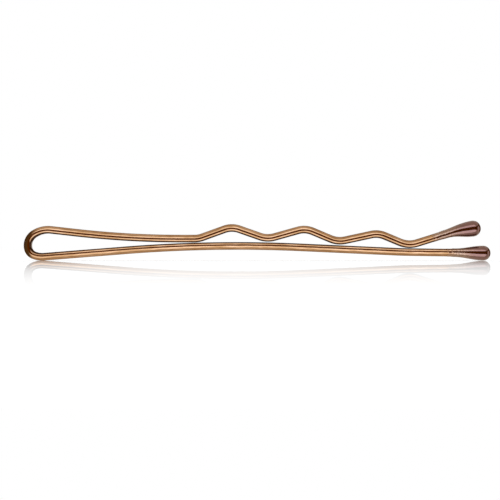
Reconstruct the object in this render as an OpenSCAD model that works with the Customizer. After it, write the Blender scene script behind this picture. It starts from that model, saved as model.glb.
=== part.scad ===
// A crimped bobby pin: one flattened spring wire bent into a straight leg, a
// sprung loop and a wavy leg, with a resin tip cast over each end of the wire.
// The wire's edges are rounder on the outer side of the loop than on the inner.
// It stands on edge. X runs from the loop to the tips, Z is up, and the origin
// is on the surface it stands on, below the middle of its length.
// Lengths are in millimetres, angles in degrees.

/* [Wire] */
// Thickness of the wire between its flat faces
wire_t = 0.82; // [0.7:0.01:0.9]
// Width of the wire over its rounded edges
wire_w = 1.35; // [1.1:0.01:1.6]
// Radius of the wire's edges on the side that faces into the loop
inner_edge_r = 0.32; // [0.25:0.01:0.41]

/* [Length] */
// Length from the nose of the loop to the end of the straight leg's tip
pin_length = 50; // [48:0.5:70]
// Distance from the end of the straight leg's tip back to the crimped leg's
tip_setback = 1.05; // [0:0.05:2]

/* [Loop] */
// Bend radius along the wire's middle at the sole of the loop
sole_r = 2.6; // [2.4:0.02:3]
// Bend radius at the heel, where the sole turns up
heel_r = 0.94; // [0.8:0.02:1.1]
// Bend radius at the nose
nose_r = 1.4; // [1.2:0.02:1.7]
// Bend radius over the shoulder, where the wire runs into the crimped leg
shoulder_r = 2.84; // [2.5:0.02:3.2]
// Angle round the loop at which the sole hands over to the heel
heel_from = 243; // [235:1:255]
// Angle round the loop at which the heel hands over to the nose
nose_from = 187; // [184:1:205]
// Angle round the loop at which the nose hands over to the shoulder
shoulder_from = 127; // [115:1:140]

/* [Straight leg] */
// Height of the leg's crown, to the middle of the wire
crown_z = 1.555; // [1.4:0.01:1.7]
// Distance from the end of the tip back to the crown
crown_back = 27.4; // [25:0.1:29]
// Radius of the crown's long arch
crown_r = 106; // [80:1:130]
// Distance from the end of the tip back to where the leg is nearly level
level_back = 6.7; // [5:0.1:8]
// Radius of the bend that brings the leg nearly level
level_r = 40; // [20:1:80]
// Downward slope of the leg from there to its end
end_slope = 0.2; // [0:0.05:0.8]

/* [Crimped leg] */
// Number of waves
crimps = 3; // [2:1:3]
// Distance from one crest to the next
crimp_pitch = 7.74; // [7.4:0.05:7.9]
// Clear height between a crest and the straight leg
crimp_rise = 1.08; // [0.8:0.01:1.3]
// Bend radius along the wire's middle at the crests
crest_r = 1.3; // [0.9:0.01:1.6]
// Bend radius along the wire's middle at the troughs
trough_r = 1.7; // [1.1:0.01:1.9]
// Distance from the end of the straight leg's tip back to the last trough
trough_back = 8.74; // [8.3:0.01:9]
// Distance from the last crest to the last trough
last_ramp = 3.42; // [3.3:0.01:3.8]
// Distance from each other crest to the trough after it
ramp = 3.8; // [3.5:0.01:4]
// Distance from the first trough to the first crest
first_ramp = 4.36; // [4.3:0.01:5.2]
// Gap between the outer troughs and the straight leg they rest on
outer_gap = 0.03; // [0.02:0.01:0.06]
// Gap between the inner troughs and the straight leg
inner_gap = 0.08; // [0.03:0.01:0.2]
// Distance from the nose of the loop to the middle of the bow behind it
bow_in = 7.75; // [7:0.1:9]
// Height of the bow there, to the middle of the wire
bow_z = 2.69; // [2.6:0.01:2.8]
// Downward slope of the bow there
bow_slope = 5.5; // [4.5:0.1:6]
// Radius of the bow
bow_r = 85; // [65:1:120]
// Height of the end of this leg's tip
tip_z = 3.55; // [3.3:0.01:3.8]
// Upward slope of the wire at its end
tip_slope = 8; // [5:0.5:12]
// Length of the wire's last run, to the end of the tip
last_run = 1.95; // [1.8:0.05:2.4]
// Radius of the bend that eases the leg into its last run
ease_r = 12; // [9:0.5:16]

/* [Tips] */
// Height of the ball at the end of the straight leg
straight_ball = 1.55; // [1.5:0.01:1.7]
// Height of the ball at the end of the crimped leg
crimped_ball = 1.7; // [1.6:0.01:1.8]
// How much wider than high each ball is
ball_spread = 0.18; // [0.1:0.01:0.3]
// Length of a ball's rounded end for each unit of half its height
ball_stretch = 1.35; // [1.2:0.05:1.5]
// Distance from the end of a tip to where its ball has narrowed to the neck
neck_at = 3.7; // [3.4:0.1:4.2]
// Length of the straight leg's tip
straight_sleeve = 4.8; // [4.4:0.1:5.4]
// Length of the crimped leg's tip
crimped_sleeve = 5.4; // [4.4:0.1:5.8]
// Length of resin beyond the end of the wire
tip_cover = 0.6; // [0.5:0.05:0.8]
// Thickness of the resin round the neck
film_t = 0.05; // [0.04:0.01:0.08]
// Gap between the wire and the resin
bond_gap = 0.005; // [0.004:0.001:0.008]

/* [Hidden] */

BRONZE = [0.66, 0.43, 0.26];
RESIN = [0.45, 0.29, 0.26];

// Which way a path turns round a bend
LEFT = 1;
RIGHT = -1;
NO_BEND = 0;

// How finely bends, edges and tips are drawn
chord_error = 0.004;
widest_step = 8;
edge_steps = 6;
ball_steps = 7;
first_ring = 6;
neck_steps = 9;
sleeve_steps = 4;
same_place = 0.001;

nose_x = -pin_length / 2;
end_x = pin_length / 2;
outer_edge_r = wire_t - inner_edge_r;
straight_tip_z = straight_ball / 2;

// Paths in the X-Z plane, pulled round pins

function along(h) = [cos(h), sin(h)];
function left_of(h) = [-sin(h), cos(h)];
function mix(a, b, u) = a + (b - a) * u;
function wrapped(a) = a > 180 ? wrapped(a - 360) : a < -180 ? wrapped(a + 360) : a;

// A pin is a peg that the wire's middle is pulled round: [x, z, radius, turn].
function end_pin(p) = [p[0], p[1], 0, NO_BEND];
function centre(pin) = [pin[0], pin[1]];
// A pin whose bend passes through point p at heading h
function pin_through(p, h, r, turn) = let (c = p + turn * r * left_of(h)) [c[0], c[1], r, turn];
// The pin after another one in the same bend, handing over at angle a
function next_pin(pin, a, r) = let (c = centre(pin) + (pin[2] - r) * along(a)) [c[0], c[1], r, pin[3]];

// Heading of the straight run between two pins
function run_heading(p, q) = let (
    gap = centre(q) - centre(p),
    lean = (q[3] * q[2] - p[3] * p[2]) / norm(gap)
) atan2(gap[1], gap[0]) - asin(max(-1, min(1, lean)));

function step_for(r) = min(widest_step, 2 * acos(1 - chord_error / r));

// Stations [x, z, heading] round one pin, from heading h0 to heading h1
function bend(pin, h0, h1) = let (
    sweep = wrapped(h1 - h0),
    steps = max(1, ceil(abs(sweep) / step_for(pin[2])))
) [for (i = [0 : steps]) let (
    h = h0 + sweep * i / steps,
    p = centre(pin) - pin[3] * pin[2] * left_of(h)
) [p[0], p[1], h]];

function spaced(path) = [for (i = [0 : len(path) - 1])
    if (i == 0 || norm(centre(path[i]) - centre(path[i - 1])) > same_place) path[i]];

// All stations of the wire pulled round a list of pins
function path_round(pins) = let (
    last = len(pins) - 1,
    runs = [for (i = [0 : last - 1]) run_heading(pins[i], pins[i + 1])]
) spaced(concat(
    [[pins[0][0], pins[0][1], runs[0]]],
    [for (i = [1 : last - 1]) each bend(pins[i], runs[i - 1], runs[i])],
    [[pins[last][0], pins[last][1], runs[last - 1]]]
));

function backwards(path) = [for (i = [len(path) - 1 : -1 : 0]) [path[i][0], path[i][1], path[i][2] + 180]];

// Distance along a path to each of its stations
function distances(path) = [for (
    i = 0, d = 0;
    i < len(path);
    d = i + 1 < len(path) ? d + norm(centre(path[i + 1]) - centre(path[i])) : d, i = i + 1
) d];

// The station at distance d along a path
function station_at(path, d) = let (marks = distances(path)) [for (axis = [0 : 2])
    lookup(d, [for (i = [0 : len(path) - 1]) [marks[i], path[i][axis]]])];

// The loop

nose_at_z = wire_t / 2 + sole_r + (sole_r - heel_r) * sin(heel_from) + (heel_r - nose_r) * sin(nose_from);
nose_pin = [nose_x + wire_t / 2 + nose_r, nose_at_z, nose_r, RIGHT];
heel_pin = next_pin(nose_pin, nose_from, heel_r);
sole_pin = next_pin(heel_pin, heel_from, sole_r);
shoulder_pin = next_pin(nose_pin, shoulder_from, shoulder_r);
nose_middle = [nose_x + wire_t / 2, nose_at_z];

// The straight leg, from its end to the nose

straight_end = [end_x, straight_tip_z];
straight_wire_end = straight_end + tip_cover * along(180 - end_slope);
level_pin = pin_through(straight_end + level_back * along(180 - end_slope), 180 - end_slope, level_r, RIGHT);
crown_pin = pin_through([end_x - crown_back, crown_z], 180, crown_r, LEFT);
straight_bends = [level_pin, crown_pin, sole_pin, heel_pin, nose_pin];
straight_path = path_round(concat([end_pin(straight_wire_end)], straight_bends, [end_pin(nose_middle)]));
straight_back = path_round(concat([end_pin(straight_end)], straight_bends, [end_pin(nose_middle)]));

// Height of the straight leg's middle at x
leg_stations = [for (s = straight_path) if (abs(wrapped(s[2] - 180)) < 5) [s[0], s[1]]];
function leg_z(x) = lookup(x, leg_stations);

// The crimped leg, from the nose to its end

trough_x = end_x - trough_back;
function crest_x(i) = trough_x - last_ramp - (crimps - 1 - i) * crimp_pitch;
function over_leg(x, clear) = [x, leg_z(x) + wire_t + clear];
function trough_pin(x, clear) = pin_through(over_leg(x, clear), 0, trough_r, LEFT);
function crest_pin(i) = pin_through(over_leg(crest_x(i), crimp_rise), 0, crest_r, RIGHT);

crimped_end = [end_x - tip_setback, tip_z];
crimped_wire_end = crimped_end - tip_cover * along(tip_slope);
ease_pin = pin_through(crimped_end - last_run * along(tip_slope), tip_slope, ease_r, RIGHT);
bow_pin = pin_through([nose_x + bow_in, bow_z], -bow_slope, bow_r, LEFT);
crimped_bends = concat(
    [nose_pin, shoulder_pin, bow_pin, trough_pin(crest_x(0) - first_ramp, outer_gap)],
    [for (i = [0 : crimps - 2]) each [crest_pin(i), trough_pin(crest_x(i) + ramp, inner_gap)]],
    [crest_pin(crimps - 1), trough_pin(trough_x, outer_gap), ease_pin]
);
crimped_path = path_round(concat([end_pin(nose_middle)], crimped_bends, [end_pin(crimped_wire_end)]));
crimped_back = backwards(path_round(concat([end_pin(nose_middle)], crimped_bends, [end_pin(crimped_end)])));

// The solids

// A section across the wire or a tip is [width, inner edge radius, outer edge radius].
// Its height is both radii together, and flats lie between the rounded edges.
function grown(section, by) = [section[0] + 2 * by, section[1] + by, section[2] + by];
wire_section = [wire_w, inner_edge_r, outer_edge_r];
neck_section = grown(wire_section, film_t);
function ball_section(ball) = [ball + ball_spread, ball / 2, ball / 2];

// One edge's points [across, up] from the outer face to the inner one
function edge_points(section) = [for (i = [0 : 2 * edge_steps]) let (
    a = 90 * (i / edge_steps - 1),
    r = a < 0 ? section[2] : section[1]
) [section[0] / 2 - r + r * cos(a), (section[2] - section[1]) / 2 + r * sin(a)]];

// A section set square across a path's station, its inner side to the left or the right
function ring(station, section, inner) = let (
    up = inner * left_of(station[2]),
    edge = edge_points(section),
    last = len(edge) - 1,
    round_trip = concat(edge, [for (i = [last : -1 : 0]) [-edge[i][0], edge[i][1]]]),
    points = inner == LEFT ? round_trip : [for (i = [len(round_trip) - 1 : -1 : 0]) round_trip[i]]
) [for (q = points) [station[0] + up[0] * q[1], q[0], station[1] + up[1] * q[1]]];

module skin(rings) {
    n = len(rings[0]);
    last = len(rings) - 1;
    sides = [for (i = [0 : last - 1]) for (j = [0 : n - 1]) let (
        a = i * n + j,
        b = i * n + (j + 1) % n
    ) each [[a, a + n, b + n], [a, b + n, b]]];
    start = [for (j = [0 : n - 1]) j];
    finish = [for (j = [n - 1 : -1 : 0]) last * n + j];
    polyhedron([for (r = rings) each r], concat([start], sides, [finish]));
}

module wire(path, inner, grow = 0) {
    skin([for (s = path) ring(s, grown(wire_section, grow), inner)]);
}

// Sections of a tip, [distance from its end, section]
function tip_sections(ball, sleeve) = let (
    nose = ball / 2 * ball_stretch,
    widest = ball_section(ball)
) concat(
    [for (i = [0 : ball_steps]) let (a = mix(first_ring, 90, i / ball_steps))
        [nose * (1 - cos(a)), widest * sin(a)]],
    [for (i = [1 : neck_steps]) let (u = i / neck_steps)
        [mix(nose, neck_at, u), mix(neck_section, widest, (1 + cos(180 * u)) / 2)]],
    [for (i = [1 : sleeve_steps]) [mix(neck_at, sleeve, i / sleeve_steps), neck_section]]
);

// A tip cast over the end of a wire, whose path starts at the tip's own end
module tip(path, inner, ball, sleeve) {
    marks = distances(path);
    inside = [for (i = [0 : len(path) - 1]) if (marks[i] > tip_cover && marks[i] < sleeve) path[i]];
    difference() {
        skin([for (s = tip_sections(ball, sleeve)) ring(station_at(path, s[0]), s[1], inner)]);
        wire(concat(
            [station_at(path, tip_cover - bond_gap)], inside, [station_at(path, sleeve + film_t)]
        ), inner, bond_gap);
    }
}

module straight_leg() {
    color(BRONZE) wire(straight_path, RIGHT);
}

module crimped_leg() {
    color(BRONZE) wire(crimped_path, RIGHT);
}

module straight_leg_tip() {
    color(RESIN) tip(straight_back, RIGHT, straight_ball, straight_sleeve);
}

module crimped_leg_tip() {
    color(RESIN) tip(crimped_back, LEFT, crimped_ball, crimped_sleeve);
}

straight_leg();
crimped_leg();
straight_leg_tip();
crimped_leg_tip();
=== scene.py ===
"""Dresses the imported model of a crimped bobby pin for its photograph.

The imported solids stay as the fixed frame. The wire and the two cast tips are
drawn again over them with finer surfaces and rounder bends, and get their
finishes here. The pin's sizes are in millimetres and its angles in degrees until
a mesh is made, which is in metres. The studio's sizes are in metres.
"""

import cmath
import logging
import math
from dataclasses import dataclass, field
from enum import Enum

import bmesh
import bpy
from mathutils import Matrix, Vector, noise

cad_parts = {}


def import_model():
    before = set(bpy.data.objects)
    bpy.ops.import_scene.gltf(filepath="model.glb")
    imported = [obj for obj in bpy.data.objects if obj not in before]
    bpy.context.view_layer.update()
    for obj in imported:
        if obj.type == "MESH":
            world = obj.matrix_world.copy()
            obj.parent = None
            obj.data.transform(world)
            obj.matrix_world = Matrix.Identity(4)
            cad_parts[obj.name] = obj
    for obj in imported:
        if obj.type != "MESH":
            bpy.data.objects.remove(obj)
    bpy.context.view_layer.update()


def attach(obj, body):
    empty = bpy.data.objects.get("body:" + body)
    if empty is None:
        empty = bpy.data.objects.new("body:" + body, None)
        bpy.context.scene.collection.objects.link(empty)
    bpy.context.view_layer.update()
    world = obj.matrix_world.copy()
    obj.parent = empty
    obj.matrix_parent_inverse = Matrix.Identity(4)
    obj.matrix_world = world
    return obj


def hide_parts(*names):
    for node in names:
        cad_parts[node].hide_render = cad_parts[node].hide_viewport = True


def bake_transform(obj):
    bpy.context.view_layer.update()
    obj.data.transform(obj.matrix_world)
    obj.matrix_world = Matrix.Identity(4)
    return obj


LOG = logging.getLogger("bobby_pin")

MM = 0.001
QUARTER_TURN = 90.0
RISING = (0.0, 1.0)
FALLING = (1.0, 0.0)

# The middle of a noise, and the range that most of it lies in.
NOISE_MIDDLE = 0.5
NOISE_SPREAD = (0.3, 0.7)

# A station nearer to the end of a length than this share of a step is left out.
NEAR_END = 0.05

# The mesh attribute that holds each point's place on the wire before it was bent:
# its distance along the wire, across it, and up towards its inner side.
UNBENT = "unbent"

Colour = tuple[float, float, float]
Stops = tuple[tuple[float, Colour], ...]

WHITE: Colour = (1.0, 1.0, 1.0)


class Turn(Enum):
    """Which way a path turns round a bend."""

    LEFT = 1
    RIGHT = -1
    NONE = 0


class Body(Enum):
    """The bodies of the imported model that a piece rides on."""

    STRAIGHT = "straight_side"
    CRIMPED = "crimped_side"


class Slot(Enum):
    """The record's material slots."""

    WIRE = "lacquered_wire"
    RESIN = "tip_resin"


class Sum(Enum):
    """The sums that a material works out."""

    ADD = "ADD"
    TAKE = "SUBTRACT"
    TIMES = "MULTIPLY"
    LARGER = "MAXIMUM"
    POWER = "POWER"
    SIZE = "ABSOLUTE"


class Output(Enum):
    """The node that a shader ends in."""

    MATERIAL = "ShaderNodeOutputMaterial"
    WORLD = "ShaderNodeOutputWorld"


def along(heading: float) -> complex:
    """The unit step at a heading in radians, as x + z * 1j."""
    return cmath.exp(1j * heading)


def left_of(heading: float) -> complex:
    """The unit step to the left of a heading in radians."""
    return 1j * along(heading)


def mix(low: float, high: float, share: float) -> float:
    """The value that lies at a share of the way from low to high."""
    return low + (high - low) * share


def eased(share: float) -> float:
    """A share from 0 to 1 with a soft start and a soft end."""
    held = min(1.0, max(0.0, share))
    return held * held * (3.0 - 2.0 * held)


def wrapped(angle: float) -> float:
    """The same angle in radians, between minus and plus half a turn."""
    return math.remainder(angle, math.tau)


def opaque(colour: Colour) -> tuple[float, float, float, float]:
    """The colour with full cover, as sockets take it."""
    return (*colour, 1.0)


def placed(name: str, data: bpy.types.ID) -> bpy.types.Object:
    """Makes an object and links it to the scene.

    Args:
        name: The object's name.
        data: Its mesh, light or camera.

    Returns:
        The object.
    """
    obj = bpy.data.objects.new(name, data)
    bpy.context.scene.collection.objects.link(obj)
    return obj


@dataclass(frozen=True)
class Station:
    """A place on the wire's middle line and the heading there in radians."""

    point: complex
    heading: float


@dataclass(frozen=True)
class Pin:
    """A peg that the wire's middle line is pulled round."""

    centre: complex
    radius: float = 0.0
    turn: Turn = Turn.NONE

    @classmethod
    def through(cls, point: complex, heading: float, radius: float, turn: Turn) -> "Pin":
        """Places a pin so that its bend passes through a point.

        Args:
            point: Where the bend passes.
            heading: The heading there in radians.
            radius: The bend's radius.
            turn: Which way the bend turns.

        Returns:
            The pin.
        """
        return cls(point + turn.value * radius * left_of(heading), radius, turn)

    def next_in_bend(self, angle: float, radius: float) -> "Pin":
        """Places the pin after this one in the same bend.

        Args:
            angle: Angle in degrees round this pin at which the next takes over.
            radius: The next pin's radius.

        Returns:
            The next pin.
        """
        shift = (self.radius - radius) * along(math.radians(angle))
        return Pin(self.centre + shift, radius, self.turn)

    def heading_to(self, other: "Pin") -> float:
        """Finds the heading of the straight run from this pin to another.

        Args:
            other: The pin at the other end of the run.

        Returns:
            The heading in radians.
        """
        gap = other.centre - self.centre
        lean = (other.turn.value * other.radius - self.turn.value * self.radius) / abs(gap)
        return cmath.phase(gap) - math.asin(max(-1.0, min(1.0, lean)))

    def station(self, heading: float) -> Station:
        """The station at which the bend round this pin has a heading."""
        return Station(self.centre - self.turn.value * self.radius * left_of(heading), heading)


@dataclass(frozen=True)
class Drawing:
    """How finely routes and sections are drawn."""

    chord_error: float = 0.0005
    widest_step: float = 4.0
    longest_run: float = 0.8
    same_place: float = 0.0005
    edge_steps: int = 18

    def turn_step(self, radius: float) -> float:
        """The angle in radians between stations on a bend of a radius."""
        fine = 2.0 * math.acos(1.0 - self.chord_error / radius)
        return min(math.radians(self.widest_step), fine)


@dataclass(frozen=True)
class Route:
    """A middle line as stations, with the distance along it to each one."""

    stations: tuple[Station, ...]
    marks: tuple[float, ...]

    @classmethod
    def through(cls, stations: list[Station]) -> "Route":
        """Measures a list of stations.

        Args:
            stations: The stations in order.

        Returns:
            The route.
        """
        marks = [0.0]
        for before, after in zip(stations, stations[1:]):
            marks.append(marks[-1] + abs(after.point - before.point))
        return cls(tuple(stations), tuple(marks))

    @classmethod
    def round_pins(cls, pins: list[Pin], draw: Drawing) -> "Route":
        """Pulls the middle line round a list of pins.

        Args:
            pins: The pins in order, the first and the last being plain ends.
            draw: How finely it is drawn.

        Returns:
            The route, with its runs cut into short lengths.
        """
        headings = [a.heading_to(b) for a, b in zip(pins, pins[1:])]
        kept = [Station(pins[0].centre, headings[0])]
        for pin, before, after in zip(pins[1:-1], headings, headings[1:]):
            sweep = wrapped(after - before)
            steps = max(1, math.ceil(abs(sweep) / draw.turn_step(pin.radius)))
            heading = kept[-1].heading + wrapped(before - kept[-1].heading)
            for i in range(steps + 1):
                kept += cls._run_on(kept[-1], pin.station(heading + sweep * i / steps), draw)
        heading = kept[-1].heading + wrapped(headings[-1] - kept[-1].heading)
        kept += cls._run_on(kept[-1], Station(pins[-1].centre, heading), draw)
        return cls.through(kept)

    @staticmethod
    def _run_on(last: Station, new: Station, draw: Drawing) -> list[Station]:
        """Cuts the run between two stations into short lengths.

        Args:
            last: The station at which the run starts.
            new: The station at which it ends.
            draw: How finely it is drawn.

        Returns:
            The stations after the first one, or none if the two are in one place.
        """
        gap = abs(new.point - last.point)
        if gap < draw.same_place:
            return []
        cuts = math.ceil(gap / draw.longest_run)
        shares = [i / cuts for i in range(1, cuts + 1)]
        return [
            Station(
                last.point + (new.point - last.point) * share,
                mix(last.heading, new.heading, share),
            )
            for share in shares
        ]

    def at(self, mark: float) -> Station:
        """Finds the station at a distance.

        Args:
            mark: The distance along the route.

        Returns:
            The station there, or the nearest end.
        """
        marks, stations = self.marks, self.stations
        low, high = 0, len(marks) - 1
        while high - low > 1:
            middle = (low + high) // 2
            if marks[middle] <= mark:
                low = middle
            else:
                high = middle
        share = (mark - marks[low]) / (marks[high] - marks[low])
        share = min(1.0, max(0.0, share))
        a, b = stations[low], stations[high]
        return Station(a.point + (b.point - a.point) * share, mix(a.heading, b.heading, share))

    def part(self, start: float, end: float, longest: float) -> "Route":
        """Cuts a part out of the route.

        Args:
            start: Distance at which the part starts.
            end: Distance at which it ends.
            longest: The longest gap between its stations.

        Returns:
            The part, which keeps its distances.
        """
        spare = longest * NEAR_END
        inside = [m for m in self.marks if start + spare < m < end - spare]
        wanted = [start]
        for mark in [*inside, end]:
            cuts = math.ceil((mark - wanted[-1]) / longest)
            first = wanted[-1]
            wanted += [mix(first, mark, i / cuts) for i in range(1, cuts + 1)]
        return Route(tuple(self.at(m) for m in wanted), tuple(wanted))

    def mark_at_x(self, x: float, near: float) -> float:
        """Finds where the route crosses an upright line.

        Args:
            x: The x to look for.
            near: A distance along the route near the crossing.

        Returns:
            The distance of the crossing nearest to it.
        """
        found = []
        for i in range(len(self.marks) - 1):
            a, b = self.stations[i].point.real, self.stations[i + 1].point.real
            if a != b and min(a, b) <= x <= max(a, b):
                found.append(mix(self.marks[i], self.marks[i + 1], (x - a) / (b - a)))
        return min(found, key=lambda mark: abs(mark - near))

    def backwards(self) -> "Route":
        """The same line from its other end, with distances from there."""
        turned = [Station(s.point, s.heading + math.pi) for s in reversed(self.stations)]
        return Route.through(turned)


@dataclass(frozen=True)
class Section:
    """A section across the wire or a tip, with rounded edges and two flats.

    Its height is both edge radii together.
    """

    width: float
    inner_r: float
    outer_r: float

    def grown(self, by: float) -> "Section":
        """The section with every side moved outward."""
        return Section(self.width + 2.0 * by, self.inner_r + by, self.outer_r + by)

    def mixed(self, other: "Section", share: float) -> "Section":
        """The section at a share of the way from this one to another."""
        return Section(
            mix(self.width, other.width, share),
            mix(self.inner_r, other.inner_r, share),
            mix(self.outer_r, other.outer_r, share),
        )

    def scaled(self, by: float) -> "Section":
        """The section drawn smaller or larger about its middle."""
        return Section(self.width * by, self.inner_r * by, self.outer_r * by)

    def points(self, steps: int) -> list[tuple[float, float]]:
        """Draws the section.

        Args:
            steps: Steps in each quarter of a rounded edge.

        Returns:
            Points [across, up], up being towards the inner side.
        """
        edge = []
        for i in range(2 * steps + 1):
            angle = math.radians(QUARTER_TURN * (i / steps - 1.0))
            radius = self.outer_r if angle < 0.0 else self.inner_r
            across = self.width / 2.0 - radius + radius * math.cos(angle)
            edge.append((across, (self.outer_r - self.inner_r) / 2.0 + radius * math.sin(angle)))
        return edge + [(-across, up) for across, up in reversed(edge)]


@dataclass
class Skin:
    """A closed surface laid over rings of points."""

    name: str
    points: list[Vector] = field(default_factory=list)
    straightened: list[Vector] = field(default_factory=list)
    faces: list[tuple[int, ...]] = field(default_factory=list)
    ring_size: int = 0
    cap_edges: set[frozenset[int]] = field(default_factory=set)

    def add_ring(self, places: list[Vector], straightened: list[Vector]) -> None:
        """Adds a ring and joins it to the one before.

        Args:
            places: The ring's points in millimetres.
            straightened: The same points on the wire before it was bent.
        """
        first = len(self.points)
        self.points += places
        self.straightened += straightened
        if first:
            size = self.ring_size
            before = first - size
            for j in range(size):
                k = (j + 1) % size
                self.faces.append((before + j, first + j, first + k, before + k))
        self.ring_size = len(places)

    def close(self, ring_start: int, middle: complex, mark: float, crisp: bool) -> None:
        """Closes an end with a fan of faces to a middle point.

        Args:
            ring_start: Number of the end ring's first point.
            middle: The middle point, on the wire's middle line.
            mark: Its distance along that line.
            crisp: Whether the end keeps a crisp edge.
        """
        tip = len(self.points)
        self.points.append(Vector((middle.real, 0.0, middle.imag)))
        self.straightened.append(Vector((mark, 0.0, 0.0)))
        for j in range(self.ring_size):
            k = (j + 1) % self.ring_size
            self.faces.append((ring_start + j, ring_start + k, tip))
            if crisp:
                self.cap_edges.add(frozenset((ring_start + j, ring_start + k)))

    def last_ring(self) -> int:
        """Number of the last ring's first point, while neither end is closed."""
        return len(self.points) - self.ring_size

    def make(self) -> bpy.types.Object:
        """Makes the Blender object, in metres.

        Returns:
            The object, linked to the scene.
        """
        mesh = bpy.data.meshes.new(self.name)
        mesh.from_pydata([p * MM for p in self.points], [], self.faces)
        stored = mesh.attributes.new(UNBENT, "FLOAT_VECTOR", "POINT")
        stored.data.foreach_set("vector", [c for p in self.straightened for c in p])
        work = bmesh.new()
        work.from_mesh(mesh)
        bmesh.ops.recalc_face_normals(work, faces=work.faces)
        for face in work.faces:
            face.smooth = True
        for edge in work.edges:
            ends = frozenset(v.index for v in edge.verts)
            edge.smooth = ends not in self.cap_edges
        work.to_mesh(mesh)
        work.free()
        return placed(self.name, mesh)


@dataclass(frozen=True)
class WireForm:
    """The bent wire's sizes and its route, with rounder bends than the solids have.

    A name in _r is a bend's radius, in _from an angle in degrees round the loop, in
    _back a distance in x from the end of the straight tip, in _gap or _rise a clear
    height over the straight leg, and in ramp the distance in x of a crest from the
    trough beside it.
    """

    thickness: float = 0.82
    width: float = 1.35
    inner_edge_r: float = 0.32
    pin_length: float = 50.0
    tip_setback: float = 1.05
    sole_r: float = 2.54
    heel_r: float = 0.96
    nose_r: float = 1.46
    shoulder_r: float = 2.84
    heel_from: float = 248.0
    nose_from: float = 196.0
    shoulder_from: float = 123.0
    crown_z: float = 1.575
    crown_back: float = 27.2
    crown_r: float = 150.0
    level_back: float = 8.7
    level_r: float = 43.0
    end_slope: float = 0.8
    crimps: int = 3
    crimp_pitch: float = 7.72
    crimp_rise: float = 1.1
    last_rise: float = 0.97
    crest_r: float = 2.37
    trough_r: float = 2.65
    trough_back: float = 8.68
    last_ramp: float = 3.59
    ramp: float = 3.86
    first_ramp: float = 4.03
    outer_gap: float = 0.03
    inner_gap: float = 0.08
    bow_in: float = 7.75
    bow_z: float = 2.77
    bow_slope: float = 5.2
    bow_r: float = 101.0
    tip_z: float = 3.55
    tip_slope: float = 8.2
    last_run: float = 1.9
    ease_r: float = 11.0
    straight_ball: float = 1.58
    crimped_ball: float = 1.7
    tip_cover: float = 0.6
    leg_lean: float = 5.0
    draw: Drawing = Drawing()

    @property
    def section(self) -> Section:
        """The wire's section."""
        return Section(self.width, self.inner_edge_r, self.thickness - self.inner_edge_r)

    @property
    def nose_x(self) -> float:
        """The loop's outermost x."""
        return -self.pin_length / 2.0

    @property
    def end_x(self) -> float:
        """The x of the end of the straight leg's tip."""
        return self.pin_length / 2.0

    @property
    def nose_pin(self) -> Pin:
        """Places the pin that the loop's nose goes round.

        Returns:
            The pin, at the height at which the loop's sole rests on the floor.
        """
        height = (
            self.thickness / 2.0
            + self.sole_r
            + (self.sole_r - self.heel_r) * math.sin(math.radians(self.heel_from))
            + (self.heel_r - self.nose_r) * math.sin(math.radians(self.nose_from))
        )
        middle = self.nose_x + self.thickness / 2.0 + self.nose_r
        return Pin(complex(middle, height), self.nose_r, Turn.RIGHT)

    def straight_pins(self) -> list[Pin]:
        """Places the pins from the straight leg's end to the nose.

        Returns:
            The end of the tip's line and the pins up to the nose's own.
        """
        level = math.pi - math.radians(self.end_slope)
        end = complex(self.end_x, self.straight_ball / 2.0)
        level_pin = Pin.through(
            end + self.level_back * along(level), level, self.level_r, Turn.RIGHT
        )
        crown = complex(self.end_x - self.crown_back, self.crown_z)
        crown_pin = Pin.through(crown, math.pi, self.crown_r, Turn.LEFT)
        heel = self.nose_pin.next_in_bend(self.nose_from, self.heel_r)
        sole = heel.next_in_bend(self.heel_from, self.sole_r)
        return [Pin(end), level_pin, crown_pin, sole, heel, self.nose_pin]

    def leg_z(self, x: float) -> float:
        """Finds the height of the straight leg's middle.

        Args:
            x: Where to look.

        Returns:
            The height there.
        """
        nose_middle = Pin(complex(self.nose_x + self.thickness / 2.0, self.nose_pin.centre.imag))
        route = Route.round_pins([*self.straight_pins(), nose_middle], self.draw)
        lean = math.radians(self.leg_lean)
        level = [s.point for s in route.stations if abs(wrapped(s.heading - math.pi)) < lean]
        for a, b in zip(level, level[1:]):
            if b.real <= x <= a.real:
                return mix(a.imag, b.imag, (x - a.real) / (b.real - a.real))
        return level[-1].imag

    def crimped_pins(self) -> list[Pin]:
        """Places the pins from the nose to the crimped leg's end.

        Returns:
            The pins after the nose's own, and the end of the tip's line.
        """
        shoulder = self.nose_pin.next_in_bend(self.shoulder_from, self.shoulder_r)
        bow = Pin.through(
            complex(self.nose_x + self.bow_in, self.bow_z),
            -math.radians(self.bow_slope),
            self.bow_r,
            Turn.LEFT,
        )
        trough_x = self.end_x - self.trough_back
        crests = [
            trough_x - self.last_ramp - (self.crimps - 1 - i) * self.crimp_pitch
            for i in range(self.crimps)
        ]
        pins = [shoulder, bow, self._trough(crests[0] - self.first_ramp, self.outer_gap)]
        for x in crests[:-1]:
            pins.append(self._crest(x, self.crimp_rise))
            pins.append(self._trough(x + self.ramp, self.inner_gap))
        pins.append(self._crest(crests[-1], self.last_rise))
        pins.append(self._trough(trough_x, self.outer_gap))
        end = complex(self.end_x - self.tip_setback, self.tip_z)
        slope = math.radians(self.tip_slope)
        ease = Pin.through(end - self.last_run * along(slope), slope, self.ease_r, Turn.RIGHT)
        return [*pins, ease, Pin(end)]

    def _over_leg(self, x: float, clear: float) -> complex:
        """The middle of a wire that lies a clear height over the straight leg."""
        return complex(x, self.leg_z(x) + self.thickness + clear)

    def _trough(self, x: float, clear: float) -> Pin:
        """The pin over a trough."""
        return Pin.through(self._over_leg(x, clear), 0.0, self.trough_r, Turn.LEFT)

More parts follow.
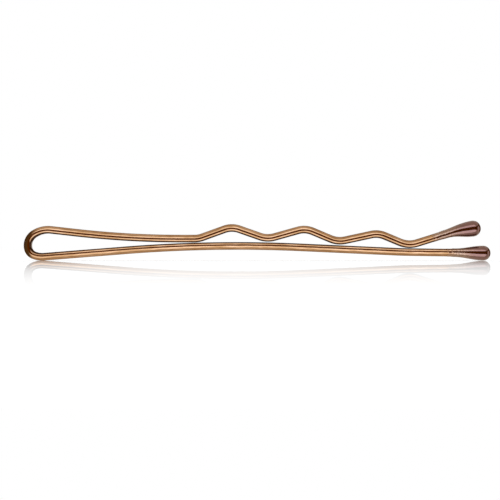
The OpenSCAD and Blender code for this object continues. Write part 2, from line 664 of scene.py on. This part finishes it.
    def _crest(self, x: float, clear: float) -> Pin:
        """The pin under a crest."""
        return Pin.through(self._over_leg(x, clear), 0.0, self.crest_r, Turn.RIGHT)

    def route(self) -> Route:
        """The middle line from the straight tip's end round to the crimped tip's."""
        return Route.round_pins([*self.straight_pins(), *self.crimped_pins()], self.draw)


def ring_at(station: Station, section: list[tuple[float, float]], inner: Turn) -> list[Vector]:
    """Sets a section square across a station.

    Args:
        station: Where it stands.
        section: The section's points [across, up].
        inner: The side of the route on which the section's inner side lies.

    Returns:
        The points in millimetres.
    """
    up = inner.value * left_of(station.heading)
    return [
        Vector((station.point.real + up.real * rise, across, station.point.imag + up.imag * rise))
        for across, rise in section
    ]


@dataclass(frozen=True)
class Pattern:
    """An uneven pattern on the wire as it was before it was bent.

    The first two sizes are repeats in a millimetre, along the wire and across it.
    """

    along: float
    across: float
    detail: float
    rough: float = 0.5


class Nodes:
    """Lays out the nodes of one material or world."""

    def __init__(self, owner: bpy.types.Material | bpy.types.World) -> None:
        """Starts with no nodes.

        Args:
            owner: The material or world that the nodes are for.
        """
        owner.use_nodes = True
        self.tree = owner.node_tree
        self.tree.nodes.clear()

    def add(self, kind: str, **settings: object) -> bpy.types.Node:
        """Adds a node.

        Args:
            kind: Blender's name for the node's type.
            **settings: Properties to set on it.

        Returns:
            The node.
        """
        node = self.tree.nodes.new(kind)
        for key, value in settings.items():
            setattr(node, key, value)
        return node

    def link(self, source: bpy.types.NodeSocket, target: bpy.types.NodeSocket) -> None:
        """Joins an output to an input."""
        self.tree.links.new(source, target)

    def unbent(self) -> bpy.types.NodeSocket:
        """Gives places in millimetres on the wire before it was bent."""
        return self.add("ShaderNodeAttribute", attribute_name=UNBENT).outputs["Vector"]

    def axes(self, place: bpy.types.NodeSocket) -> bpy.types.NodeOutputs:
        """Splits a place into its three values.

        Args:
            place: The place.

        Returns:
            The outputs X, Y and Z.
        """
        node = self.add("ShaderNodeSeparateXYZ")
        self.link(place, node.inputs["Vector"])
        return node.outputs

    def noise(self, pattern: Pattern) -> bpy.types.NodeSocket:
        """Adds an uneven pattern.

        Args:
            pattern: Its sizes.

        Returns:
            A value from 0 to 1.
        """
        mapping = self.add("ShaderNodeMapping")
        mapping.inputs["Scale"].default_value = (pattern.along, pattern.across, pattern.across)
        self.link(self.unbent(), mapping.inputs["Vector"])
        texture = self.add("ShaderNodeTexNoise")
        texture.inputs["Scale"].default_value = 1.0
        texture.inputs["Detail"].default_value = pattern.detail
        texture.inputs["Roughness"].default_value = pattern.rough
        self.link(mapping.outputs["Vector"], texture.inputs["Vector"])
        return texture.outputs["Fac"]

    def ranged(
        self,
        value: bpy.types.NodeSocket,
        source: tuple[float, float],
        target: tuple[float, float],
        smooth: bool = False,
    ) -> bpy.types.NodeSocket:
        """Moves a value from one range to another.

        Args:
            value: The value.
            source: Its range.
            target: The range it moves to.
            smooth: Whether it eases in and out.

        Returns:
            The new value.
        """
        node = self.add("ShaderNodeMapRange")
        node.interpolation_type = "SMOOTHSTEP" if smooth else "LINEAR"
        node.clamp = True
        node.inputs["From Min"].default_value = source[0]
        node.inputs["From Max"].default_value = source[1]
        node.inputs["To Min"].default_value = target[0]
        node.inputs["To Max"].default_value = target[1]
        self.link(value, node.inputs["Value"])
        return node.outputs["Result"]

    def colour(self, value: Colour) -> bpy.types.NodeSocket:
        """Gives one even colour.

        Args:
            value: The colour.

        Returns:
            Its socket.
        """
        node = self.add("ShaderNodeRGB")
        node.outputs["Color"].default_value = opaque(value)
        return node.outputs["Color"]

    def ramp(self, value: bpy.types.NodeSocket, stops: Stops) -> bpy.types.NodeSocket:
        """Turns a value into a colour.

        Args:
            value: The value.
            stops: Places from 0 to 1 and the colour at each.

        Returns:
            The colour.
        """
        node = self.add("ShaderNodeValToRGB")
        elements = node.color_ramp.elements
        while len(elements) < len(stops):
            elements.new(NOISE_MIDDLE)
        for element, (place, colour) in zip(elements, stops):
            element.position = place
            element.color = opaque(colour)
        self.link(value, node.inputs["Fac"])
        return node.outputs["Color"]

    def mixed(
        self,
        share: bpy.types.NodeSocket,
        low: bpy.types.NodeSocket,
        high: bpy.types.NodeSocket,
    ) -> bpy.types.NodeSocket:
        """Mixes two colours.

        Args:
            share: How much of the second one.
            low: The first colour.
            high: The second colour.

        Returns:
            The mixed colour.
        """
        node = self.add("ShaderNodeMixRGB")
        self.link(share, node.inputs["Fac"])
        self.link(low, node.inputs["Color1"])
        self.link(high, node.inputs["Color2"])
        return node.outputs["Color"]

    def blended(
        self,
        share: bpy.types.NodeSocket,
        low: bpy.types.NodeSocket,
        high: bpy.types.NodeSocket,
    ) -> bpy.types.NodeSocket:
        """Mixes two shaders.

        Args:
            share: How much of the second one.
            low: The first shader.
            high: The second shader.

        Returns:
            The mixed shader.
        """
        node = self.add("ShaderNodeMixShader")
        for socket, source in zip(node.inputs, (share, low, high)):
            self.link(source, socket)
        return node.outputs["Shader"]

    def math(
        self,
        operation: Sum,
        first: bpy.types.NodeSocket | float,
        second: bpy.types.NodeSocket | float = 0.0,
    ) -> bpy.types.NodeSocket:
        """Works out a value from one or two others.

        Args:
            operation: The sum.
            first: The first value.
            second: The second value, if the sum takes one.

        Returns:
            The result.
        """
        node = self.add("ShaderNodeMath", operation=operation.value)
        for socket, value in zip(node.inputs, (first, second)):
            if isinstance(value, float):
                socket.default_value = value
            else:
                self.link(value, socket)
        return node.outputs["Value"]

    def bump(
        self,
        height: bpy.types.NodeSocket,
        depth: float,
        over: bpy.types.NodeSocket | None = None,
    ) -> bpy.types.NodeSocket:
        """Adds relief.

        Args:
            height: The relief's height.
            depth: Millimetres for one unit of height.
            over: A coarser relief that it lies on.

        Returns:
            The normal.
        """
        node = self.add("ShaderNodeBump")
        node.inputs["Strength"].default_value = 1.0
        node.inputs["Distance"].default_value = depth * MM
        self.link(height, node.inputs["Height"])
        if over is not None:
            self.link(over, node.inputs["Normal"])
        return node.outputs["Normal"]

    def lustre(self, coat: float, coat_roughness: float) -> bpy.types.Node:
        """Adds a metallic shader under a clear coat.

        Args:
            coat: How much of the coat there is.
            coat_roughness: The coat's roughness.

        Returns:
            The shader's node.
        """
        shader = self.add("ShaderNodeBsdfPrincipled")
        shader.inputs["Metallic"].default_value = 1.0
        shader.inputs["Coat Weight"].default_value = coat
        shader.inputs["Coat Roughness"].default_value = coat_roughness
        return shader

    def background_rays(self) -> bpy.types.NodeSocket:
        """Tells the rays that show the background from those that light the pin.

        Returns:
            1 for camera, glossy and transmission rays, and otherwise 0.
        """
        path = self.add("ShaderNodeLightPath")
        share = path.outputs["Is Camera Ray"]
        for other in ("Is Glossy Ray", "Is Transmission Ray"):
            share = self.math(Sum.LARGER, share, path.outputs[other])
        return share

    def end_in(self, output: Output, shader: bpy.types.NodeSocket) -> None:
        """Ends the tree with its surface shader."""
        self.link(shader, self.add(output.value).inputs["Surface"])


@dataclass(frozen=True)
class LacqueredWire:
    """Rolled spring wire under a clear bronze lacquer, with painted shade on its inner side.

    Marks are distances along the wire from the straight tip's end. The crease and
    the painted shade's band are heights from the wire's middle towards its inner side.
    """

    shades: Stops = (
        (0.40, (0.46, 0.245, 0.112)),
        (0.50, (0.58, 0.335, 0.176)),
        (0.60, (0.73, 0.450, 0.275)),
    )
    # Painted shade: the dark brown that the inner side turns, where the legs shade each other.
    painted_inner_shade: Colour = (0.12, 0.06, 0.035)
    edge_tint: Colour = (0.42, 0.34, 0.26)
    smoothest: float = 0.06
    roughest: float = 0.16
    coat: float = 0.12
    coat_roughness: float = 0.05
    streaks: Pattern = Pattern(0.7, 6.0, 3.0, 0.6)
    patches: Pattern = Pattern(0.16, 1.6, 2.0)
    grain: Pattern = Pattern(2.2, 22.0, 2.0)
    streak_share: float = 0.7
    patch_share: float = 0.3
    streak_depth: float = 0.006
    grain_depth: float = 0.001
    crease: float = 0.09
    calm: tuple[float, float] = (0.04, 0.20)
    inner_shade_band: tuple[float, float] = (0.22, 0.34)
    thin_inner_shade: float = 0.35
    inner_shade_marks: tuple[float, float] = (40.0, 50.0)
    nose_mark: float = 50.3
    nose_reach: tuple[float, float] = (1.5, 6.0)
    nose_inner_shade: float = 0.04

    def material(self) -> bpy.types.Material:
        """Builds the finish.

        Returns:
            The material, with draw lines that follow the wire's bends.
        """
        made = bpy.data.materials.new("lacquered_wire_finish")
        nodes = Nodes(made)
        streak = nodes.noise(self.streaks)
        patch = nodes.noise(self.patches)
        place = nodes.axes(nodes.unbent())
        tone = nodes.math(Sum.TIMES, streak, self.streak_share)
        tone = nodes.math(Sum.ADD, tone, nodes.math(Sum.TIMES, patch, self.patch_share))
        # Painted shade: the base colour turns dark brown on the inner side, strongest round the
        # loop and widest at the nose.
        painted_inner_shade = nodes.math(Sum.TIMES, *self._painted_inner_shade_masks(nodes, place))
        colour = nodes.mixed(painted_inner_shade, nodes.ramp(tone, self.shades), nodes.colour(self.painted_inner_shade))
        shader = nodes.lustre(self.coat, self.coat_roughness)
        shader.inputs["Specular Tint"].default_value = opaque(self.edge_tint)
        nodes.link(colour, shader.inputs["Base Color"])
        roughness = nodes.ranged(streak, NOISE_SPREAD, (self.smoothest, self.roughest))
        nodes.link(roughness, shader.inputs["Roughness"])
        off_crease = nodes.math(Sum.TAKE, place["Z"], self.crease)
        off_crease = nodes.math(Sum.SIZE, off_crease)
        rolled = nodes.ranged(off_crease, self.calm, RISING, True)
        height = nodes.math(Sum.TAKE, streak, NOISE_MIDDLE)
        relief = nodes.bump(nodes.math(Sum.TIMES, height, rolled), self.streak_depth)
        relief = nodes.bump(nodes.noise(self.grain), self.grain_depth, relief)
        nodes.link(relief, shader.inputs["Normal"])
        nodes.end_in(Output.MATERIAL, shader.outputs["BSDF"])
        return made

    def _painted_inner_shade_masks(
        self, nodes: Nodes, place: bpy.types.NodeOutputs
    ) -> tuple[bpy.types.NodeSocket, bpy.types.NodeSocket]:
        """Finds where the painted shade darkens the wire's inner side.

        Args:
            nodes: The material's nodes.
            place: The place on the wire before it was bent.

        Returns:
            How strong the painted shade is at that distance along the wire, and at that height.
        """
        full = nodes.ranged(place["X"], self.inner_shade_marks, (self.thin_inner_shade, 1.0), True)
        to_nose = nodes.math(Sum.SIZE, nodes.math(Sum.TAKE, place["X"], self.nose_mark))
        wider = nodes.ranged(to_nose, self.nose_reach, (self.nose_inner_shade, 0.0), True)
        inner = nodes.math(Sum.ADD, place["Z"], wider)
        return full, nodes.ranged(inner, self.inner_shade_band, RISING, True)


@dataclass(frozen=True)
class CastResin:
    """Mauve-brown lustre resin that thins to a speckled film on the wire."""

    body: Stops = (
        (0.30, (0.22, 0.10, 0.088)),
        (0.62, (0.275, 0.135, 0.118)),
    )
    film: Stops = (
        (0.42, (0.30, 0.165, 0.106)),
        (0.66, (0.58, 0.405, 0.305)),
    )
    worn: Stops = (
        (0.30, (0.30, 0.165, 0.106)),
        (0.48, (0.56, 0.325, 0.185)),
    )
    worn_reach: float = 0.9
    smoothest: float = 0.08
    roughest: float = 0.16
    coat: float = 1.0
    coat_roughness: float = 0.04
    mottle: Pattern = Pattern(1.4, 2.6, 3.0)
    flecks: Pattern = Pattern(8.0, 12.0, 2.0, 0.7)
    peel: Pattern = Pattern(3.0, 4.0, 1.0)
    wander: float = 1.2
    peel_depth: float = 0.006
    fleck_depth: float = 0.008

    def material(self, name: str, thins_from: float, thins_to: float) -> bpy.types.Material:
        """Builds the finish for one tip.

        Args:
            name: The material's name.
            thins_from: Distance from the tip's end at which the resin starts to thin.
            thins_to: Distance at which only a film is left.

        Returns:
            The material.
        """
        made = bpy.data.materials.new(name)
        nodes = Nodes(made)
        mottle = nodes.noise(self.mottle)
        flecks = nodes.noise(self.flecks)
        wander = nodes.math(Sum.TAKE, mottle, NOISE_MIDDLE)
        wander = nodes.math(Sum.TIMES, wander, self.wander)
        reach = nodes.math(Sum.ADD, nodes.axes(nodes.unbent())["X"], wander)
        thin = nodes.ranged(reach, (thins_from, thins_to), RISING, True)
        edge = nodes.ranged(reach, (thins_to, thins_to + self.worn_reach), RISING, True)
        film = nodes.mixed(edge, nodes.ramp(flecks, self.film), nodes.ramp(flecks, self.worn))
        shader = nodes.lustre(self.coat, self.coat_roughness)
        colour = nodes.mixed(thin, nodes.ramp(mottle, self.body), film)
        nodes.link(colour, shader.inputs["Base Color"])
        roughness = nodes.ranged(mottle, NOISE_SPREAD, (self.smoothest, self.roughest))
        nodes.link(roughness, shader.inputs["Roughness"])
        relief = nodes.bump(nodes.noise(self.peel), self.peel_depth)
        relief = nodes.bump(nodes.math(Sum.TIMES, flecks, thin), self.fleck_depth, relief)
        nodes.link(relief, shader.inputs["Normal"])
        nodes.end_in(Output.MATERIAL, shader.outputs["BSDF"])
        return made


@dataclass
class BentWire:
    """The one wire, in three lengths: two stiff legs and the loop between them."""

    form: WireForm
    finish: LacqueredWire
    straight_cut_x: float = -21.3
    crimped_cut_x: float = -20.9
    before_nose: float = 0.9
    after_nose: float = 1.1
    loop_step: float = 0.25
    stiff_step: float = 0.8
    flex_x: float = -23.5
    flex_from: float = 0.9
    flex_to: float = 2.7

    def build(self) -> list[bpy.types.Object]:
        """Builds the three lengths and lets the two legs ride.

        Returns:
            The straight leg, the loop and the crimped leg.
        """
        route = self.form.route()
        middle = route.marks[-1] / 2.0
        start = self.form.tip_cover
        first = route.mark_at_x(self.straight_cut_x, middle * self.before_nose)
        second = route.mark_at_x(self.crimped_cut_x, middle * self.after_nose)
        last = route.marks[-1] - self.form.tip_cover
        straight = self._length("straight_wire", route, start, first, self.stiff_step)
        loop = self._length("loop_bend", route, first, second, self.loop_step)
        crimped = self._length("crimped_wire", route, second, last, self.stiff_step)
        finish = self.finish.material()
        for obj in (straight, loop, crimped):
            obj.data.materials.append(finish)
        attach(straight, Body.STRAIGHT.value)
        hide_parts("straight_leg")
        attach(crimped, Body.CRIMPED.value)
        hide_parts("crimped_leg")
        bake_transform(loop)
        return [straight, loop, crimped]

    def _length(
        self, name: str, route: Route, start: float, end: float, step: float
    ) -> bpy.types.Object:
        """Draws one length of the wire.

        Args:
            name: The piece's name.
            route: The wire's whole route.
            start: Distance at which the length starts.
            end: Distance at which it ends.
            step: The longest gap between its rings.

        Returns:
            The piece.
        """
        part = route.part(start, end, step)
        section = self.form.section.points(self.form.draw.edge_steps)
        skin = Skin(name)
        for station, mark in zip(part.stations, part.marks):
            flat = [Vector((mark, across, up)) for across, up in section]
            skin.add_ring(ring_at(station, section, Turn.RIGHT), flat)
        last = skin.last_ring()
        skin.close(0, part.stations[0].point, start, crisp=True)
        skin.close(last, part.stations[-1].point, end, crisp=True)
        return skin.make()


@dataclass
class TipCoat:
    """A resin tip cast over one end of the wire.

    Distances along it are measured from the tip's end.
    """

    name: str
    node: str
    body: Body
    route: Route
    inner: Turn
    wire: Section
    tip_cover: float
    ball: float
    sleeve: float
    seed: float
    thins_from: float
    thins_to: float
    ball_spread: float = 0.18
    ball_stretch: float = 1.0
    neck_at: float = 3.9
    film: float = 0.05
    feather: float = 0.008
    bond_gap: float = 0.005
    rag: float = 0.45
    rag_scale: float = 2.6
    rag_fractal: tuple[float, float, int] = (0.6, 2.1, 3)
    rag_middle: float = 0.5
    rag_gain: float = 0.8
    thins_by: float = 1.6
    bead: float = 0.012
    bead_scale: float = 7.0
    bead_in: float = 3.0
    bead_out: float = 8.0
    bead_gain: float = 2.0
    deepest_dent: float = -0.3
    nose_rings: int = 22
    neck_rings: int = 34
    sleeve_rings: int = 26
    socket_rings: int = 4
    edge_steps: int = 24

    def profile(self) -> list[tuple[float, Section]]:
        """Works out the coat's outside up to its neck.

        Returns:
            Distances from the tip's end and the section at each.
        """
        nose = self.ball / 2.0 * self.ball_stretch
        widest = Section(self.ball + self.ball_spread, self.ball / 2.0, self.ball / 2.0)
        neck = self.wire.grown(self.film)
        found = []
        for i in range(1, self.nose_rings + 1):
            angle = math.radians(QUARTER_TURN * i / self.nose_rings)
            found.append((nose * (1.0 - math.cos(angle)), widest.scaled(math.sin(angle))))
        for i in range(1, self.neck_rings + 1):
            share = i / self.neck_rings
            fall = (1.0 + math.cos(math.pi * share)) / 2.0
            found.append((mix(nose, self.neck_at, share), neck.mixed(widest, fall)))
        return found

    def build(self, finish: CastResin) -> bpy.types.Object:
        """Builds the coat, dresses it and lets it ride.

        Args:
            finish: The resin.

        Returns:
            The piece.
        """
        skin = Skin(self.name)
        for mark, section in self.profile():
            points = section.points(self.edge_steps)
            self._ring(skin, [mark] * len(points), points)
        around = self.wire.points(self.edge_steps)
        edges = [self._edge(across, up) for across, up in around]
        for i in range(1, self.sleeve_rings + 1):
            share = i / self.sleeve_rings
            marks = [mix(self.neck_at, edge, share) for edge in edges]
            self._ring(skin, marks, self._film_points(marks, share))
        socket = self.wire.grown(self.bond_gap).points(self.edge_steps)
        floor = self.tip_cover - self.bond_gap
        for i in range(self.socket_rings + 1):
            share = i / self.socket_rings
            self._ring(skin, [mix(edge, floor, share) for edge in edges], socket)
        last = skin.last_ring()
        skin.close(0, self.route.at(0.0).point, 0.0, crisp=False)
        skin.close(last, self.route.at(floor).point, floor, crisp=True)
        obj = skin.make()
        obj.data.materials.append(
            finish.material(f"{self.name}_finish", self.thins_from, self.thins_to)
        )
        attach(obj, self.body.value)
        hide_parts(self.node)
        return obj

    def _edge(self, across: float, up: float) -> float:
        """Finds where the ragged film ends at one place round the wire.

        Args:
            across: The place across the wire.
            up: The place up from the wire's middle.

        Returns:
            The distance from the tip's end.
        """
        place = Vector((across * self.rag_scale, up * self.rag_scale, self.seed))
        wave = noise.fractal(place, *self.rag_fractal)
        return self.sleeve - self.rag * eased(self.rag_middle + self.rag_gain * wave)

    def _film_points(self, marks: list[float], share: float) -> list[tuple[float, float]]:
        """Draws the film's outside, which thins and beads towards its edge.

        Args:
            marks: Distance from the tip's end of each point.
            share: How far along the sleeve the ring is, from 0 to 1.

        Returns:
            The points [across, up].
        """
        thin = mix(self.film, self.feather, eased(share * self.thins_by))
        rise = self.bead * eased(share * self.bead_in) * eased((1.0 - share) * self.bead_out)
        base = self.wire.grown(self.bond_gap).points(self.edge_steps)
        one_out = self.wire.grown(1.0 + self.bond_gap).points(self.edge_steps)
        scale = self.bead_scale
        drawn = []
        for mark, low, high in zip(marks, base, one_out):
            place = Vector((mark * scale, low[0] * scale, low[1] * scale + self.seed))
            bump = max(self.deepest_dent, noise.noise(place) * self.bead_gain)
            lift = min(self.film, thin + rise * bump)
            drawn.append((mix(low[0], high[0], lift), mix(low[1], high[1], lift)))
        return drawn

    def _ring(self, skin: Skin, marks: list[float], section: list[tuple[float, float]]) -> None:
        """Adds a ring whose points may each lie at a distance of their own.

        Args:
            skin: The surface that takes the ring.
            marks: Distance from the tip's end of each point.
            section: The points [across, up].
        """
        places = []
        flat = []
        for mark, point in zip(marks, section):
            places += ring_at(self.route.at(mark), [point], self.inner)
            flat.append(Vector((mark, *point)))
        skin.add_ring(places, flat)


@dataclass
class Studio:
    """The floor, backdrop, light and camera.

    Where the camera looks, its field, lens and sensor are in millimetres. Places
    on the tent are shares of its radius. The other sizes are in metres.
    """

    look_x: float = -0.77
    look_z: float = 1.137
    field_width: float = 53.6
    lens: float = 100.0
    sensor: float = 36.0
    nearest: float = 0.01
    floor_half: float = 1.5
    floor_paint: Colour = (0.8, 0.8, 0.8)
    floor_lift: float = 0.335
    ambient: float = 0.85
    lamp_power: float = 0.3
    lamp_size: float = 0.5
    lamp_place: tuple[float, float, float] = (-0.15, -0.25, 0.6)
    mirror: float = 0.85
    mirror_reach: tuple[float, float] = (-0.120, -0.010)
    mirror_edge: tuple[float, float] = (-0.006, 0.002)
    mirror_curve: float = 1.4
    mirror_slant: tuple[float, float] = (0.93, 0.96)
    mirror_tint: Colour = (0.98, 0.99, 1.0)
    seen_white: float = 1.0
    tent_radius: float = 0.4
    tent_columns: int = 120
    tent_rows: int = 60
    slot_half: float = 0.08
    slot_turn: float = 25.0
    lens_shade: Colour = (0.14, 0.045, 0.0)
    dim_side: Colour = (0.12, 0.085, 0.04)
    bright: Colour = (1.55, 1.62, 1.68)
    silk: Colour = (0.62, 0.565, 0.475)
    belt_middle: float = 0.11
    belt: tuple[float, float] = (0.36, 0.41)
    front: tuple[float, float] = (-0.60, -0.52)
    dim_from: float = 0.22
    dim_lean: float = 0.265
    dim_fade: float = 0.34
    glow: tuple[float, float] = (0.90, 0.95)
    glow_back: tuple[float, float] = (0.25, 0.35)
    side_glow: Colour = (0.80, 0.76, 0.70)

    def build(self) -> None:
        """Builds the whole studio."""
        self.world()
        self.floor()
        self.tent()
        self.lamp()
        self.camera()

    def world(self) -> None:
        """Makes a white backdrop all round and an even light."""
        world = bpy.data.worlds.new("backdrop")
        bpy.context.scene.world = world
        nodes = Nodes(world)
        shades = []
        for strength in (self.ambient, self.seen_white):
            shade = nodes.add("ShaderNodeBackground")
            shade.inputs["Color"].default_value = opaque(WHITE)
            shade.inputs["Strength"].default_value = strength
            shades.append(shade.outputs["Background"])
        nodes.end_in(Output.WORLD, nodes.blended(nodes.background_rays(), *shades))

    def floor(self) -> None:
        """Lays a white floor that keeps the pin's shadow and a faint mirror image."""
        half = self.floor_half
        corners = [(-half, -half, 0.0), (half, -half, 0.0), (half, half, 0.0), (-half, half, 0.0)]
        mesh = bpy.data.meshes.new("studio_floor")
        mesh.from_pydata(corners, [], [(0, 1, 2, 3)])
        mesh.materials.append(self._floor_finish())
        obj = placed("studio_floor", mesh)
        obj.visible_glossy = False

    def _floor_finish(self) -> bpy.types.Material:
        """Paints the floor matt white, with a polish that shows from low in front.

        Returns:
            The floor's material.
        """
        made = bpy.data.materials.new("floor_finish")
        nodes = Nodes(made)
        paint = nodes.add("ShaderNodeBsdfDiffuse")
        paint.inputs["Color"].default_value = opaque(self.floor_paint)
        lift = nodes.add("ShaderNodeEmission")
        strength = nodes.math(Sum.TIMES, nodes.background_rays(), self.floor_lift)
        nodes.link(strength, lift.inputs["Strength"])
        matt = nodes.add("ShaderNodeAddShader")
        nodes.link(paint.outputs["BSDF"], matt.inputs[0])
        nodes.link(lift.outputs["Emission"], matt.inputs[1])
        polish = nodes.add("ShaderNodeBsdfGlossy")
        polish.inputs["Color"].default_value = opaque(self.mirror_tint)
        polish.inputs["Roughness"].default_value = 0.0
        depth = nodes.axes(nodes.add("ShaderNodeTexCoord").outputs["Object"])["Y"]
        fade = nodes.ranged(depth, self.mirror_reach, RISING)
        fade = nodes.math(Sum.POWER, fade, self.mirror_curve)
        fade = nodes.math(Sum.TIMES, fade, self.mirror)
        facing = nodes.add("ShaderNodeLayerWeight").outputs["Facing"]
        low = nodes.ranged(facing, self.mirror_slant, RISING)
        fade = nodes.math(Sum.TIMES, fade, low)
        near = nodes.ranged(depth, self.mirror_edge, FALLING, True)
        fade = nodes.math(Sum.TIMES, fade, near)
        surface = nodes.blended(fade, matt.outputs["Shader"], polish.outputs["BSDF"])
        nodes.end_in(Output.MATERIAL, surface)
        return made

    def tent(self) -> None:
        """Hangs a light tent for gloss alone, with a slot behind for the mirror image."""
        columns, rows = self.tent_columns, self.tent_rows
        points = []
        faces = []
        for i in range(rows + 1):
            elevation = math.pi * (i / rows - 0.5)
            flat = self.tent_radius * math.cos(elevation)
            for j in range(columns):
                turn = math.tau * j / columns
                height = self.tent_radius * math.sin(elevation)
                points.append((flat * math.sin(turn), flat * math.cos(turn), height))
        for i in range(rows):
            low = abs(math.sin(math.pi * ((i + 0.5) / rows - 0.5))) < self.slot_half
            for j in range(columns):
                turn = math.degrees(wrapped(math.tau * (j + 0.5) / columns))
                if low and abs(turn) < self.slot_turn:
                    continue
                a = i * columns + j
                b = i * columns + (j + 1) % columns
                faces.append((a, b, b + columns, a + columns))
        mesh = bpy.data.meshes.new("light_tent")
        mesh.from_pydata(points, [], faces)
        mesh.materials.append(self._silk())
        obj = placed("light_tent", mesh)
        obj.visible_camera = False
        obj.visible_diffuse = False
        obj.visible_transmission = False
        obj.visible_volume_scatter = False
        obj.visible_shadow = False

    def _silk(self) -> bpy.types.Material:
        """Lights the tent: bright in front, dim at the lens's height and on the left.

        Returns:
            The tent's material.
        """
        made = bpy.data.materials.new("tent_silk")
        nodes = Nodes(made)
        unit = nodes.add("ShaderNodeVectorMath", operation="SCALE")
        unit.inputs["Scale"].default_value = 1.0 / self.tent_radius
        nodes.link(nodes.add("ShaderNodeTexCoord").outputs["Object"], unit.inputs[0])
        axes = nodes.axes(unit.outputs["Vector"])
        ahead = nodes.ranged(axes["Y"], self.front, RISING, True)
        tone = nodes.mixed(ahead, nodes.colour(self.bright), nodes.colour(self.silk))
        glow = nodes.ranged(axes["X"], self.glow, RISING, True)
        back = nodes.ranged(axes["Y"], self.glow_back, FALLING, True)
        glow = nodes.math(Sum.TIMES, glow, back)
        tone = nodes.mixed(glow, tone, nodes.colour(self.side_glow))
        off_belt = nodes.math(Sum.SIZE, nodes.math(Sum.TAKE, axes["Z"], self.belt_middle))
        belt = nodes.ranged(off_belt, self.belt, FALLING, True)
        belt = nodes.math(Sum.TIMES, belt, nodes.math(Sum.TAKE, 1.0, glow))
        tone = nodes.mixed(belt, tone, nodes.colour(self.lens_shade))
        lean = nodes.math(Sum.TIMES, nodes.math(Sum.SIZE, axes["Z"]), self.dim_lean)
        edge = (-self.dim_from - self.dim_fade, -self.dim_from)
        dim = nodes.ranged(nodes.math(Sum.ADD, axes["X"], lean), edge, FALLING, True)
        tone = nodes.mixed(dim, tone, nodes.colour(self.dim_side))
        shine = nodes.add("ShaderNodeEmission")
        nodes.link(tone, shine.inputs["Color"])
        nodes.end_in(Output.MATERIAL, shine.outputs["Emission"])
        return made

    def lamp(self) -> None:
        """Hangs one large soft lamp above the pin."""
        light = bpy.data.lights.new("soft_lamp", "AREA")
        light.shape = "DISK"
        light.size = self.lamp_size
        light.energy = self.lamp_power
        obj = placed("soft_lamp", light)
        obj.location = self.lamp_place
        obj.rotation_euler = (-obj.location).to_track_quat("-Z", "Y").to_euler()
        obj.visible_glossy = False

    def camera(self) -> None:
        """Sets the camera level with the pin, at the photograph's distance."""
        data = bpy.data.cameras.new("camera")
        data.lens = self.lens
        data.sensor_width = self.sensor
        data.clip_start = self.nearest
        obj = placed("camera", data)
        distance = self.field_width * self.lens / self.sensor
        obj.location = (self.look_x * MM, -distance * MM, self.look_z * MM)
        obj.rotation_euler = (math.radians(QUARTER_TURN), 0.0, 0.0)
        bpy.context.scene.camera = obj


def tip_coats(form: WireForm) -> list[TipCoat]:
    """Lists the two resin tips.

    Args:
        form: The bent wire.

    Returns:
        The straight leg's tip and the crimped leg's.
    """
    route = form.route()
    straight = TipCoat(
        name="straight_tip_coat",
        node="straight_leg_tip",
        body=Body.STRAIGHT,
        route=route,
        inner=Turn.RIGHT,
        wire=form.section,
        tip_cover=form.tip_cover,
        ball=form.straight_ball,
        sleeve=4.8,
        seed=3.0,
        thins_from=1.3,
        thins_to=3.6,
    )
    crimped = TipCoat(
        name="crimped_tip_coat",
        node="crimped_leg_tip",
        body=Body.CRIMPED,
        route=route.backwards(),
        inner=Turn.LEFT,
        wire=form.section,
        tip_cover=form.tip_cover,
        ball=form.crimped_ball,
        sleeve=5.4,
        seed=11.0,
        thins_from=1.5,
        thins_to=4.6,
        bead=0.005,
    )
    return [straight, crimped]


def main() -> None:
    """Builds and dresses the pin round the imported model."""
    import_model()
    logging.basicConfig(level=logging.INFO, format="%(name)s: %(message)s")
    bpy.context.scene.view_settings.view_transform = "Standard"
    form = WireForm()
    resin = CastResin()
    pieces = BentWire(form, LacqueredWire()).build()
    pieces += [coat.build(resin) for coat in tip_coats(form)]
    for piece in pieces:
        LOG.info("%s, %d faces", piece.name, len(piece.data.polygons))
    Studio().build()


if __name__ == "__main__":
    main()
